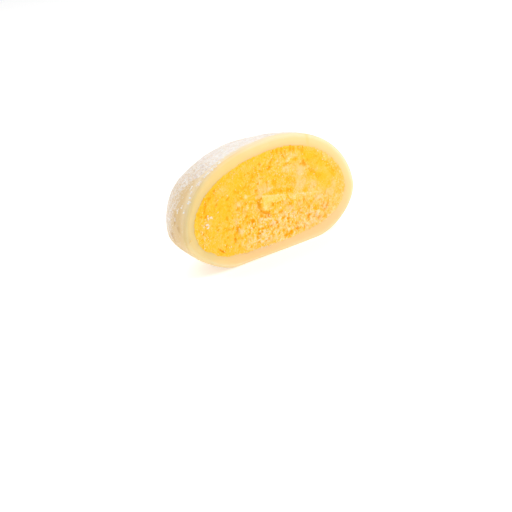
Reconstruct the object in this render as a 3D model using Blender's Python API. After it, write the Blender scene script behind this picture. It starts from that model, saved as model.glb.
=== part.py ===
"""Half of a round mochi: a soft rice cake cut straight down through its golden filling.

The cut looks along -Y and the cake rests on its flat foot at Z = 0. The origin is under the middle of the
whole half. The cake was shaped by hand, so its left and right flanks differ, and each is blended into the
other round the back. All lengths are in metres.
"""

import math
import random
from collections import namedtuple

import bmesh
import bpy
from mathutils import Vector, noise

MM = 0.001

# A flank is one side of a profile: how far it reaches out from the crown's axis, the height at which it is
# widest, the superellipse exponents of its curve above and below that height, and how far the flat foot
# under it reaches.
Flank = namedtuple("Flank", "reach widest_at crown_curve under_curve foot")

# The outside of the rice cake.
CAKE_LEFT = Flank(27.0 * MM, 9.6 * MM, 2.30, 1.5, 13.9 * MM)
CAKE_RIGHT = Flank(23.2 * MM, 9.6 * MM, 2.04, 1.7, 10.2 * MM)
CAKE_HEIGHT = 27.0 * MM

# The filling, which leaves a skin of 2.5 to 3.5 mm all round.
FILLING_LEFT = Flank(24.2 * MM, 11.8 * MM, 2.03, 2.26, 7.7 * MM)
FILLING_RIGHT = Flank(20.1 * MM, 10.8 * MM, 2.01, 2.27, 5.0 * MM)
FILLING_FLOOR = 2.7 * MM
FILLING_TOP = 24.0 * MM
FILLING_GAP = 0.3 * MM

# The half is a little less deep than the mean of its two reaches.
DEPTH_SHARE = 0.96
CUT_EDGE_ROUND = 0.6 * MM

# The torn face of the filling, against the knife's plane: how far it lies back, and the most that a crumb
# stands out.
FACE_SETBACK = 0.25 * MM
FACE_PROUD = 1.1 * MM

# The flake that the knife lifted, by its upper edge: where it starts and fades out, how high its left end
# is and how it falls to the right, and how far it lifts, slopes and reaches down.
FLAKE_START = -4.7 * MM
FLAKE_END = 15.0 * MM
FLAKE_EDGE = 14.8 * MM
FLAKE_FALL = 0.2
FLAKE_LIFT = 1.45 * MM
FLAKE_SLOPE = 1.3 * MM
FLAKE_TALL = 4.6 * MM

# Where the crown's axis and the knife's plane lie, so that the origin is under the middle of the half.
AXIS_X = (CAKE_LEFT.reach - CAKE_RIGHT.reach) / 2
CAKE_DEPTH = DEPTH_SHARE * (CAKE_LEFT.reach + CAKE_RIGHT.reach) / 2
CUT_Y = -(CAKE_DEPTH - FACE_PROUD) / 2

# How finely the curves are stepped.
TURN_STEPS = 36
CROWN_STEPS = 15
UNDER_STEPS = 8
FACE_CELL = 0.62 * MM


def clear_scene():
    for old in list(bpy.data.objects):
        bpy.data.objects.remove(old)


def matter(name, colour, roughness):
    """A plain material of one colour, given as linear red, green and blue."""
    material = bpy.data.materials.new(name)
    material.use_nodes = True
    shader = material.node_tree.nodes["Principled BSDF"]
    shader.inputs["Base Color"].default_value = (*colour, 1.0)
    shader.inputs["Roughness"].default_value = roughness
    shader.inputs["Metallic"].default_value = 0.0
    return material


def blended(left, right, share):
    """The flank that is this share of the way from left to right."""
    return Flank(*(a + (b - a) * share for a, b in zip(left, right)))


def profile(flank, floor, top):
    """Points (reach, height) up one flank, from the edge of the foot to just under the crown."""
    points = []
    for step in range(UNDER_STEPS):
        turn = math.pi / 2 * (1 - step / UNDER_STEPS)
        spread = math.cos(turn) ** (2 / flank.under_curve)
        drop = math.sin(turn) ** (2 / flank.under_curve)
        reach = flank.foot + (flank.reach - flank.foot) * spread
        points.append((reach, flank.widest_at - (flank.widest_at - floor) * drop))
    for step in range(CROWN_STEPS):
        turn = math.pi / 2 * step / CROWN_STEPS
        reach = flank.reach * math.cos(turn) ** (2 / flank.crown_curve)
        rise = math.sin(turn) ** (2 / flank.crown_curve)
        points.append((reach, flank.widest_at + (top - flank.widest_at) * rise))
    return points


def half_body(name, left, right, floor, top, stand_out=0.0):
    """A closed half body whose flanks are turned from right to left round the back.

    stand_out carries its flat side on past the knife's plane, by that much.
    """
    body = bmesh.new()
    crown = body.verts.new((AXIS_X, CUT_Y, top))
    heel = body.verts.new((AXIS_X, CUT_Y, floor))
    columns = []
    for step in range(TURN_STEPS + 1):
        turn = math.pi * step / TURN_STEPS
        flank = blended(left, right, (1 + math.cos(turn)) / 2)
        columns.append([
            body.verts.new((AXIS_X + reach * math.cos(turn), CUT_Y + DEPTH_SHARE * reach * math.sin(turn), height))
            for reach, height in profile(flank, floor, top)
        ])
    for near, far in zip(columns, columns[1:]):
        body.faces.new((heel, far[0], near[0]))
        body.faces.new((near[-1], far[-1], crown))
        for low in range(len(near) - 1):
            body.faces.new((near[low], far[low], far[low + 1], near[low + 1]))
    cut = body.faces.new([heel, *columns[0], crown, *reversed(columns[-1])])
    if stand_out:
        moved = bmesh.ops.extrude_face_region(body, geom=[cut])["geom"]
        bmesh.ops.translate(
            body,
            verts=[item for item in moved if isinstance(item, bmesh.types.BMVert)],
            vec=Vector((0, -stand_out, 0)),
        )
        bmesh.ops.delete(body, geom=[cut], context="FACES_ONLY")
    return finished(body, name)


def finished(body, name):
    """The object that holds this mesh, with its faces pointing out."""
    bmesh.ops.recalc_face_normals(body, faces=body.faces)
    mesh = bpy.data.meshes.new(name)
    body.to_mesh(mesh)
    body.free()
    thing = bpy.data.objects.new(name, mesh)
    bpy.context.scene.collection.objects.link(thing)
    return thing


def smooth_rise(low, high, value):
    """0 below low, 1 above high, and a smooth curve between."""
    share = min(1.0, max(0.0, (value - low) / (high - low)))
    return share * share * (3 - 2 * share)


def pit_places():
    """Pores of the filling as (across, up, radius, depth). They crowd just under the top of the cut."""
    draw = random.Random(7)
    pits = []
    for _ in range(26):
        across = draw.uniform(-14, 12) * MM
        up = (23.4 - 0.018 * (across / MM) ** 2 - draw.uniform(0.2, 3.2)) * MM
        pits.append((across, up, draw.uniform(0.5, 0.9) * MM, draw.uniform(0.3, 0.6) * MM))
    for _ in range(34):
        across = draw.uniform(-12, 15) * MM
        up = draw.uniform(4.0, 9.5) * MM
        pits.append((across, up, draw.uniform(0.5, 1.0) * MM, draw.uniform(0.35, 0.8) * MM))
    return pits


def lifted_flake(across, up):
    """How far the flake stands out. Its left end and its lower lip are torn, and it fades to the right."""
    below_edge = FLAKE_EDGE - FLAKE_FALL * (across - FLAKE_START) - up
    torn_end = smooth_rise(-0.4 * MM, 0.3 * MM, across - FLAKE_START + 0.12 * below_edge)
    slope = smooth_rise(-0.15 * MM, FLAKE_SLOPE, below_edge)
    lip = 1 - smooth_rise(FLAKE_TALL - 1.0 * MM, FLAKE_TALL, below_edge)
    thinning = 1 - 0.5 * smooth_rise(FLAKE_SLOPE, FLAKE_TALL, below_edge)
    fade = 1 - smooth_rise(0.0, FLAKE_END - FLAKE_START, across - FLAKE_START)
    return FLAKE_LIFT * torn_end * slope * lip * thinning * fade


def roughness_at(across, up):
    """How coarse the crumb is: smeared smooth at both ends of the cut, and torn along its lower side."""
    torn_low = 1 - smooth_rise(7.0 * MM, 11.0 * MM, up + 0.1 * across)
    smeared_left = 1 - smooth_rise(-15.5 * MM, -9.5 * MM, across)
    smeared_right = smooth_rise(6.0 * MM, 12.0 * MM, across) * smooth_rise(9.0 * MM, 12.0 * MM, up)
    return (0.42 + 0.58 * torn_low) * (1 - 0.7 * smeared_left) * (1 - 0.65 * smeared_right)


def relief(across, up, pits):
    """How far the filling's face stands out of the knife's plane at a place on the cut."""
    place = Vector((across / MM, 0.0, up / MM))
    swell = 0.30 * noise.noise(place * 0.13)
    crumb = 0.55 * noise.fractal(place * 0.55, 0.6, 2.1, 3) * roughness_at(across, up)
    out = (swell + crumb) * MM - FACE_SETBACK + lifted_flake(across, up)
    for pit_across, pit_up, radius, depth in pits:
        away = math.hypot(across - pit_across, (up - pit_up) * 0.6) / radius
        if away < 2:
            out -= depth * math.exp(-2 * away * away)
    return min(out, FACE_PROUD)


def torn_face_cutter(name):
    """A block in front of the cut whose rear side is the torn face. It shapes the filling by taking away."""
    margin = 1.0 * MM
    left, right = -FILLING_LEFT.reach - margin, FILLING_RIGHT.reach + margin
    low, high = FILLING_FLOOR - margin, FILLING_TOP + margin
    columns = round((right - left) / FACE_CELL)
    rows = round((high - low) / FACE_CELL)
    pits = pit_places()
    block = bmesh.new()
    bmesh.ops.create_grid(block, x_segments=columns, y_segments=rows, size=0.5)
    for vertex in block.verts:
        across = left + (vertex.co.x + 0.5) * (right - left)
        up = low + (vertex.co.y + 0.5) * (high - low)
        vertex.co = (AXIS_X + across, CUT_Y - relief(across, up, pits), up)
    front = bmesh.ops.extrude_face_region(block, geom=block.faces[:])["geom"]
    for item in front:
        if isinstance(item, bmesh.types.BMVert):
            item.co.y = CUT_Y - FACE_PROUD - 3 * MM
    return finished(block, name)


def take_away(thing, cutter):
    """Cuts one object from another, and keeps the cutter as a hidden helper."""
    boolean = thing.modifiers.new("cut by " + cutter.name, "BOOLEAN")
    boolean.operation = "DIFFERENCE"
    boolean.solver = "EXACT"
    boolean.object = cutter
    cutter.hide_render = True
    cutter.display_type = "WIRE"


def rice_cake_skin():
    """The soft skin: the whole half, its cut edge a little rounded, hollowed for the filling."""
    skin = half_body("rice_cake_skin", CAKE_LEFT, CAKE_RIGHT, 0.0, CAKE_HEIGHT)
    edge = skin.modifiers.new("soft cut edge", "BEVEL")
    edge.width = CUT_EDGE_ROUND
    edge.segments = 2
    edge.limit_method = "ANGLE"
    edge.angle_limit = math.radians(55)
    wider = [
        side._replace(reach=side.reach + FILLING_GAP, foot=side.foot + FILLING_GAP)
        for side in (FILLING_LEFT, FILLING_RIGHT)
    ]
    hollow = half_body(
        "hollow_for_filling", *wider, FILLING_FLOOR - FILLING_GAP, FILLING_TOP + FILLING_GAP, stand_out=2 * MM
    )
    take_away(skin, hollow)
    skin.data.materials.append(matter("floured rice cake", (0.86, 0.72, 0.50), 0.75))
    return skin


def golden_filling():
    """The filling: it fills the skin and is torn, not smooth, where the knife went through."""
    filling = half_body(
        "golden_filling", FILLING_LEFT, FILLING_RIGHT, FILLING_FLOOR, FILLING_TOP, stand_out=FACE_PROUD + MM
    )
    take_away(filling, torn_face_cutter("torn_face"))
    filling.data.materials.append(matter("golden custard crumb", (1.0, 0.56, 0.08), 0.6))
    return filling


def shade(thing, sharp_angle):
    """Smooth shading, apart from edges sharper than this angle."""
    thing.data.shade_smooth()
    thing.data.set_sharp_from_angle(angle=math.radians(sharp_angle))


clear_scene()
shade(rice_cake_skin(), 40)
shade(golden_filling(), 50)
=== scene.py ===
import math
import random
from collections import namedtuple

import bpy
import numpy as np
from mathutils import Matrix, Vector, noise


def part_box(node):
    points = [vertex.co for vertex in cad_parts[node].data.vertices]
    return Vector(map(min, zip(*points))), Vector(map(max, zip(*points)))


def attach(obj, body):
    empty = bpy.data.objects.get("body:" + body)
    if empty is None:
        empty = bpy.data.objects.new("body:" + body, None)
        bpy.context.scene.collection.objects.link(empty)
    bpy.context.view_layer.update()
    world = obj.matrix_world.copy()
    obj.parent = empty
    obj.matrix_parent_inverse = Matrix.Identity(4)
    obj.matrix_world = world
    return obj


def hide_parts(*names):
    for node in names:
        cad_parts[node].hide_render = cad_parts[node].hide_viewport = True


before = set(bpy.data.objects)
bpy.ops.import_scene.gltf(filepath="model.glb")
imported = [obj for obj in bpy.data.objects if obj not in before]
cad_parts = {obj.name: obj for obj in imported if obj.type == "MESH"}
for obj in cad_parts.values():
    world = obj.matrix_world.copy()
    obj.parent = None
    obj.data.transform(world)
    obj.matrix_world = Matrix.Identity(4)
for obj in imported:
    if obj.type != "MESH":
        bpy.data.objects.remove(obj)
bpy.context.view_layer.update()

# Rice dough skin
# Steamed rice dough, stretched by hand round the filling and closed underneath, then halved with a wet knife.
# The cut is moist and lets light through; outside the dough is dry with starch and a little creased.

MM = 0.001

# A flank is one side of a profile: its reach from the crown's axis, the height where it is widest, the
# superellipse exponents above and below that height, and how far the flat foot under it reaches.
Flank = namedtuple("Flank", "reach widest_at crown_curve under_curve foot")
CAKE_LEFT = Flank(27.0, 9.6, 2.30, 1.5, 13.9)
CAKE_RIGHT = Flank(23.2, 9.6, 2.04, 1.7, 10.2)
CAKE_TOP = 27.0
HOLLOW_LEFT = Flank(24.2, 11.8, 2.03, 2.26, 7.7)
HOLLOW_RIGHT = Flank(20.1, 10.8, 2.01, 2.27, 5.0)
HOLLOW_FLOOR = 2.7
HOLLOW_TOP = 24.0
DEPTH_SHARE = 0.96

PROFILE_POINTS = 160
CORNER_SOFTENING = 6
SAME_PLACE = 1e-4
POINTS_AT_ONCE = 2000

SKIN_COLUMNS = 232
SKIN_RINGS = 150
CROWDING = 0.65          # how closely the columns crowd together towards the cut
WALL_CUTS = 16
HOLLOW_BACK = 6.0
EDGE_ROUND_LEFT = 1.4
EDGE_ROUND_RIGHT = 0.4
EDGE_ZONE = 4.0
KNIFE_EDGE_ANGLE = 60
KNIFE_WAVE = 0.10
SWELL_DEPTHS = (0.34, 0.12)
SWELL_SIZES = (9.0, 3.5)
SETTLED = 0.1

# Creases of the dough as (across, behind, up) at both ends, and their depth.
CREASE_WIDTH = 0.42
CREASES = (
    ((-26.0, 7.2, 11.0), (-25.6, 6.0, 9.2), 0.22),
    ((-26.7, 3.3, 13.2), (-26.6, 2.7, 12.4), 0.20),
    ((-25.5, 5.2, 16.2), (-26.1, 4.6, 13.6), 0.16),
    ((-21.5, 10.5, 19.0), (-19.6, 12.5, 19.6), 0.14),
    ((16.0, 14.0, 15.0), (14.6, 15.6, 12.4), 0.18),
    ((2.0, 23.5, 14.0), (4.6, 22.9, 12.8), 0.16),
)

# A faint fold down the dough's wall, right of the crown.
FOLD_AT = 11.1
FOLD_WIDTH = 0.45
FOLD_DEPTH = 0.04

# Colours as a screen shows them, 0 to 255. Those of a ramp have their place on it, 0 to 1, before them.
# The cut dough's colours paint the light that passes through it: peach near the filling, whose colour that
# light carries, and paler towards the thin outer edge.
CUT_COLOURS = (
    (0.08, (249, 200, 126)), (0.30, (251, 209, 138)), (0.75, (252, 218, 155)), (0.95, (253, 230, 184)),
)
# Painted shade on the left of the cut.
LEFT_SHADE_TINT = (218, 198, 128)
PEACH_TINT = (244, 200, 142)
LIT_EDGE_TINT = (251, 220, 178)
FOLD_TINT = (247, 208, 112)
BARE_COLOURS = (
    (0.0, (238, 213, 150)), (0.14, (235, 206, 142)), (0.4, (229, 194, 128)), (1.0, (222, 188, 128)),
)
BARE_REACH = 6.0
PALE_EDGE_TINT = (251, 232, 201)
# Painted shade in the creases.
CREASE_SHADE_TINT = (196, 150, 92)
STARCH_COLOURS = ((0.38, (216, 198, 186)), (0.52, (250, 242, 236)), (0.66, (255, 253, 252)))
THICK_STARCH_TINT = (255, 253, 250)
DOUGH_GLOW = {"Subsurface Radius": (1.0, 0.85, 0.6), "Subsurface Scale": 1.4 * MM}

skin_low, skin_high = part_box("rice_cake_skin")
CUT_Y = skin_low.y
AXIS_X = (skin_low.x + skin_high.x) / 2 + (CAKE_LEFT.reach - CAKE_RIGHT.reach) / 2 * MM


def smooth_rise(low, high, value):
    """0 below low, 1 above high and a smooth curve between, for numbers and for arrays."""
    share = np.clip((value - low) / (high - low), 0.0, 1.0)
    return share * share * (3 - 2 * share)


def grown(flank, more):
    """The same flank, that much further out."""
    return flank._replace(reach=flank.reach + more, foot=flank.foot + more)


def soft_profile(flank, floor, top, count):
    """Evenly spaced points (reach, up) from the crown to the middle of the foot, with softened corners."""
    turn = np.linspace(math.pi / 2, 0, PROFILE_POINTS)
    sine, cosine = np.sin(turn), np.maximum(np.cos(turn), 0)
    crown = np.column_stack((
        flank.reach * cosine ** (2 / flank.crown_curve),
        flank.widest_at + (top - flank.widest_at) * sine ** (2 / flank.crown_curve),
    ))
    under = np.column_stack((
        flank.foot + (flank.reach - flank.foot) * cosine ** (2 / flank.under_curve),
        flank.widest_at - (flank.widest_at - floor) * sine ** (2 / flank.under_curve),
    ))
    line = np.vstack((crown, under[-2::-1], (0, floor)))
    run = np.concatenate(([0], np.cumsum(np.hypot(*np.diff(line, axis=0).T))))
    even = np.linspace(0, run[-1], count)
    line = np.column_stack([np.interp(even, run, line[:, axis]) for axis in (0, 1)])
    for _ in range(CORNER_SOFTENING):
        line[1:-1] = line[:-2] / 4 + line[1:-1] / 2 + line[2:] / 4
    return line


def places_of(mesh):
    """The mesh's vertices as an array."""
    flat = np.empty(len(mesh.vertices) * 3, np.float32)
    mesh.vertices.foreach_get("co", flat)
    return flat.reshape(-1, 3).astype(float)


def set_places(mesh, places):
    mesh.vertices.foreach_set("co", places.astype(np.float32).ravel())
    mesh.update()


def turned_half(name, left, right, floor, top, columns, rings):
    """An open half shell, in millimetres: a flat grid, turned half round the crown's axis."""
    bpy.ops.object.select_all(action="DESELECT")
    bpy.ops.mesh.primitive_grid_add(x_subdivisions=columns, y_subdivisions=rings, size=2)
    shell = bpy.context.object
    shell.name = shell.data.name = name
    turns = np.linspace(0, 1, columns + 1)
    turns = math.pi * (turns - CROWDING * np.sin(2 * math.pi * turns) / (2 * math.pi))
    profiles = []
    for turn in turns:
        share = (1 + math.cos(turn)) / 2
        flank = Flank(*(a + (b - a) * share for a, b in zip(left, right)))
        profiles.append(soft_profile(flank, floor, top, rings + 1))
    grid = places_of(shell.data)
    column = np.rint((grid[:, 0] + 1) / 2 * columns).astype(int)
    ring = np.rint((grid[:, 1] + 1) / 2 * rings).astype(int)
    reach, up = np.array(profiles)[column, ring].T
    across = reach * np.cos(turns)[column]
    back = DEPTH_SHARE * reach * np.sin(turns)[column]
    set_places(shell.data, np.column_stack((across, np.maximum(back, 0), up)))
    bpy.ops.object.mode_set(mode="EDIT")
    bpy.ops.mesh.select_all(action="SELECT")
    bpy.ops.mesh.remove_doubles(threshold=SAME_PLACE)
    bpy.ops.mesh.normals_make_consistent(inside=False)
    bpy.ops.object.mode_set(mode="OBJECT")
    return shell


def outline(left, right, floor, top, count=500):
    """The closed outline of a half body on the cut, as points (across, up)."""
    right_side = soft_profile(right, floor, top, count)
    left_side = soft_profile(left, floor, top, count)
    return np.vstack((right_side, left_side[::-1] * (-1, 1)))


def nearest_on(line, points):
    """For each point, how far the closed line is, and the place on it that is nearest."""
    start, step = line, np.roll(line, -1, axis=0) - line
    size = np.maximum((step ** 2).sum(axis=1), 1e-12)
    away, places = [], []
    for part in np.array_split(points, max(1, len(points) // POINTS_AT_ONCE)):
        share = np.clip(((part[:, None] - start) * step).sum(axis=2) / size, 0, 1)
        place = start + share[..., None] * step
        gap = np.linalg.norm(part[:, None] - place, axis=2)
        best = gap.argmin(axis=1)
        rows = np.arange(len(part))
        away.append(gap[rows, best])
        places.append(place[rows, best])
    return np.concatenate(away), np.concatenate(places)


def normals_of(mesh):
    flat = np.empty(len(mesh.vertices) * 3, np.float32)
    mesh.vertex_normals.foreach_get("vector", flat)
    return flat.reshape(-1, 3).astype(float)


def paint(mesh, name, values):
    """Keeps one number for each vertex, for the materials to read."""
    layer = mesh.attributes.new(name, "FLOAT", "POINT")
    layer.data.foreach_set("value", np.asarray(values, np.float32))


def put_in_place(mesh):
    """From millimetres on the cut to the frame's metres."""
    mesh.transform(Matrix.Translation((AXIS_X, CUT_Y, 0)) @ Matrix.Scale(MM, 4))
    mesh.update()


def join_and_bridge(main, other, **bridging):
    """Joins the other open shell to the main one and bridges their edges, which leaves one closed body."""
    other.select_set(True)
    main.select_set(True)
    bpy.context.view_layer.objects.active = main
    bpy.ops.object.join()
    bpy.ops.object.mode_set(mode="EDIT")
    bpy.ops.mesh.select_mode(type="EDGE")
    bpy.ops.mesh.select_all(action="DESELECT")
    bpy.ops.mesh.select_non_manifold(extend=False, use_wire=False, use_boundary=True,
                                     use_multi_face=False, use_non_contiguous=False, use_verts=False)
    bpy.ops.mesh.bridge_edge_loops(**bridging)
    bpy.ops.mesh.select_all(action="SELECT")
    bpy.ops.mesh.normals_make_consistent(inside=False)
    bpy.ops.object.mode_set(mode="OBJECT")


skin = turned_half("rice_dough_skin", CAKE_LEFT, CAKE_RIGHT, 0.0, CAKE_TOP, SKIN_COLUMNS, SKIN_RINGS)
outside_count = len(skin.data.vertices)
hollow = turned_half("hollow", HOLLOW_LEFT, HOLLOW_RIGHT, HOLLOW_FLOOR, HOLLOW_TOP,
                     SKIN_COLUMNS // 2, SKIN_RINGS)
hollow.data.transform(Matrix.Translation((0, HOLLOW_BACK, 0)))
hollow_count = len(hollow.data.vertices)
join_and_bridge(skin, hollow, number_cuts=WALL_CUTS, interpolation="LINEAR")

# The cut wall was bridged to the hollow while that was moved back, and is now pressed flat. Then come how far
# each vertex is from the outside and from the filling, the rounded outer edge, and faint waves of the knife.
places = places_of(skin.data)
places[outside_count:outside_count + hollow_count, 1] -= HOLLOW_BACK
places[outside_count + hollow_count:, 1] = 0.0
cake_outline = outline(CAKE_LEFT, CAKE_RIGHT, 0.0, CAKE_TOP)
hollow_outline = outline(HOLLOW_LEFT, HOLLOW_RIGHT, HOLLOW_FLOOR, HOLLOW_TOP)
is_outside = np.arange(len(places)) < outside_count
near_cut = places[:, 1] < EDGE_ZONE
from_outside = np.full(len(places), EDGE_ZONE)
from_filling = np.zeros(len(places))
inward = np.zeros((len(places), 2))
from_outside[near_cut], _ = nearest_on(cake_outline, places[near_cut][:, ::2])
from_filling[near_cut], towards = nearest_on(hollow_outline, places[near_cut][:, ::2])
inward[near_cut] = towards - places[near_cut][:, ::2]
inward /= np.maximum(np.linalg.norm(inward, axis=1, keepdims=True), 1e-6)
on_cut = places[:, 1] < SAME_PLACE
wall_share = np.where(on_cut, from_filling / np.maximum(from_filling + from_outside, 1e-6), 1.0)
wall_share = np.where(is_outside | on_cut, wall_share, 0.0)
behind = places[:, 1].copy()

edge_round = EDGE_ROUND_RIGHT + (EDGE_ROUND_LEFT - EDGE_ROUND_RIGHT) * smooth_rise(6.0, -12.0, places[:, 0])
corner_a = np.maximum(0, edge_round - from_outside)
corner_b = np.maximum(0, edge_round - places[:, 1])
reach_out = np.hypot(corner_a, corner_b)
rounded = (is_outside | on_cut) & (corner_a > 0) & (corner_b > 0) & (reach_out > edge_round)
pull = np.where(rounded, 1 - edge_round / np.maximum(reach_out, 1e-6), 0.0)
places[:, ::2] += inward * (corner_a * pull)[:, None]
places[:, 1] += corner_b * pull
waves = np.array([noise.noise(Vector((x * 0.3, 3.0, z * 0.3))) for x, _, z in places[on_cut]])
places[on_cut, 1] += KNIFE_WAVE * waves * smooth_rise(0, 0.8, from_outside[on_cut])
fold = np.exp(-((places[:, 0] - FOLD_AT) / FOLD_WIDTH) ** 2) * smooth_rise(21.0, 23.0, places[:, 2])
places[on_cut, 1] += FOLD_DEPTH * fold[on_cut]
set_places(skin.data, places)

# Hand-shaped dough is never quite even: long soft swells outside, and the creases.
normals = normals_of(skin.data)
loose = is_outside * smooth_rise(0.6, 5.0, behind) * smooth_rise(0.1, 2.5, places[:, 2])
swells = np.zeros(len(places))
for index in np.flatnonzero(loose > 0):
    place = Vector(places[index])
    swells[index] = SWELL_DEPTHS[0] * noise.noise(place / SWELL_SIZES[0])
    swells[index] += SWELL_DEPTHS[1] * noise.noise(place / SWELL_SIZES[1] + Vector((5, 0, 0)))
crease = np.zeros(len(places))
for start, end, deep in CREASES:
    start, end = np.array(start), np.array(end)
    share = np.clip((places - start) @ (end - start) / ((end - start) @ (end - start)), 0, 1)
    away = np.linalg.norm(places - start - share[:, None] * (end - start), axis=1)
    crease += deep * np.exp(-(away / CREASE_WIDTH) ** 2)
places += normals * (swells * loose - crease * is_outside - SETTLED * loose)[:, None]
places[:, 2] = np.maximum(places[:, 2], 0.0)
set_places(skin.data, places)

# How much starch lies on each place: none on the cut and on the rolled-over edge, little low on the left.
across, up = places[:, 0], places[:, 2]
low_flank = smooth_rise(24.5, 19.5, up)
patches = np.array([noise.noise(Vector(place) / 3.0 + Vector((0, 9, 0))) for place in places])
starch = smooth_rise(0.2 + 0.6 * low_flank, 1.8 + 5.6 * low_flank, behind + (0.4 + 1.2 * low_flank) * patches)
starch *= 0.12 + 0.88 * smooth_rise(6.0, 17.0, up + 2.5 * patches + 0.5 * (behind - 5))
starch *= (1 - 0.25 * low_flank) * is_outside
paint(skin.data, "starch", starch)
# Starch lies thickest far back. On top the dough is painted whiter too, partly thicker starch and partly
# painted light from above.
well_floured = np.maximum(smooth_rise(7.0, 16.0, behind), 0.8 * smooth_rise(24.0, 26.0, up))
paint(skin.data, "well_floured", well_floured)
# The creases are painted darker, as the shade that falls in them.
paint(skin.data, "crease", np.clip(crease / 0.2, 0, 1) * is_outside)

# The rolled-over edge is painted paler, as light: palest on the right and round the crown, where most light
# falls through it, and paler on the upper left too.
pale_left = 0.6 * smooth_rise(10.0, 19.0, up) + 0.15 * smooth_rise(21.0, 25.0, up)
pale_edge = np.maximum(smooth_rise(-4.0, 6.0, across), pale_left)
right_edge = smooth_rise(12.0, 20.0, across) * smooth_rise(6.0, 12.0, up)
paint(skin.data, "pale_edge", pale_edge * (1 - smooth_rise(0.8, 3.2, behind)))
paint(skin.data, "lit_edge", np.maximum(smooth_rise(21.0, 25.0, up), right_edge))
paint(skin.data, "behind", behind)

# The cut dough is painted darker and greener on the left, as shade, peach along the foot, and moist at the
# fold and left of the crown.
paint(skin.data, "wall_share", wall_share)
paint(skin.data, "left_shade", smooth_rise(-8.0, -24.0, across) * smooth_rise(-2.0, 6.0, up))
paint(skin.data, "peach", (1 - smooth_rise(3.0, 11.0, up)) * smooth_rise(-19.0, -10.0, across))
moist_crown = np.exp(-((across + 12.5) / 5.5) ** 2) * smooth_rise(18.0, 21.0, up)
paint(skin.data, "fold", (fold + 0.9 * moist_crown) * on_cut)
skin_places, skin_normals = places, normals
put_in_place(skin.data)


def new_material(name):
    """A material, a function that adds a node to it, and one that sets its Principled shader's inputs."""
    material = bpy.data.materials.new(name)
    material.use_nodes = True
    tree = material.node_tree

    def set_inputs(node, inputs):
        for socket, value in dict(inputs).items():
            if isinstance(value, bpy.types.NodeSocket):
                tree.links.new(value, node.inputs[socket])
            else:
                node.inputs[socket].default_value = value

    def add(kind, inputs=(), **settings):
        node = tree.nodes.new("ShaderNode" + kind)
        for setting, value in settings.items():
            setattr(node, setting, value)
        set_inputs(node, inputs)
        return node

    def set_shader(inputs):
        set_inputs(tree.nodes["Principled BSDF"], inputs)

    return material, add, set_shader


def linear(colour):
    """A colour as a screen shows it, 0 to 255, as linear light."""
    light = (((c / 255 + 0.055) / 1.055) ** 2.4 if c > 10 else c / 255 / 12.92 for c in colour)
    return (*light, 1.0)


def painted(add, name):
    """The numbers that paint kept under this name."""
    return add("Attribute", attribute_name=name).outputs["Fac"]


def cloudy(add, scale, detail, roughness=0.5):
    """Noise in the material's own space, with about this many waves in a metre."""
    spot = add("TexCoord").outputs["Object"]
    inputs = {"Vector": spot, "Scale": scale, "Detail": detail, "Roughness": roughness}
    return add("TexNoise", inputs).outputs["Fac"]


def number(add, operation, *values):
    """The result of a sum on numbers, kept from 0 to 1."""
    return add("Math", dict(enumerate(values)), operation=operation, use_clamp=True).outputs[0]


def ramp(add, value, stops):
    """Colours along a number from 0 to 1, as (place, colour) pairs."""
    node = add("ValToRGB", {"Fac": value})
    while len(node.color_ramp.elements) < len(stops):
        node.color_ramp.elements.new(0.5)
    for element, (place, colour) in zip(node.color_ramp.elements, stops):
        element.position = place
        element.color = linear(colour)
    return node.outputs["Color"]


def blend_colours(add, share, first, second):
    """first where share is 0 and second where it is 1."""
    return add("Mix", {0: share, 6: first, 7: second}, data_type="RGBA").outputs[2]


def tinted(add, colour, share, strength, tint):
    """The colour, with the tint over it at this strength where share is 1."""
    return blend_colours(add, number(add, "MULTIPLY", share, strength), colour, linear(tint))


def cut_dough_material():
    """Moist cut dough, with the light through it painted on: peach by the filling, cream in the middle, paler
    at its outer edge, and painted shade to the left.
    """
    material, add, set_shader = new_material("moist cut rice dough")
    share = painted(add, "wall_share")
    cloud = cloudy(add, 220.0, 2.0)
    uneven = number(add, "ADD", share, number(add, "MULTIPLY", cloud, 0.25))
    rolled = add("MapRange", {"Value": share, "From Min": 0.6, "From Max": 0.95}).outputs[0]
    lit = number(add, "MULTIPLY", painted(add, "lit_edge"), rolled)
    colour = ramp(add, uneven, CUT_COLOURS)
    colour = tinted(add, colour, painted(add, "left_shade"), 0.55, LEFT_SHADE_TINT)
    colour = tinted(add, colour, painted(add, "peach"), 0.55, PEACH_TINT)
    colour = tinted(add, colour, lit, 0.9, LIT_EDGE_TINT)
    colour = tinted(add, colour, painted(add, "fold"), 0.5, FOLD_TINT)
    gloss = number(add, "MULTIPLY_ADD", cloud, 0.2, 0.32)
    bump = add("Bump", {"Height": cloudy(add, 1400.0, 3.0), "Strength": 0.12, "Distance": 0.1 * MM})
    set_shader({"Base Color": colour, "Roughness": gloss, "Normal": bump.outputs["Normal"],
                "Subsurface Weight": 0.5, **DOUGH_GLOW})
    return material


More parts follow.
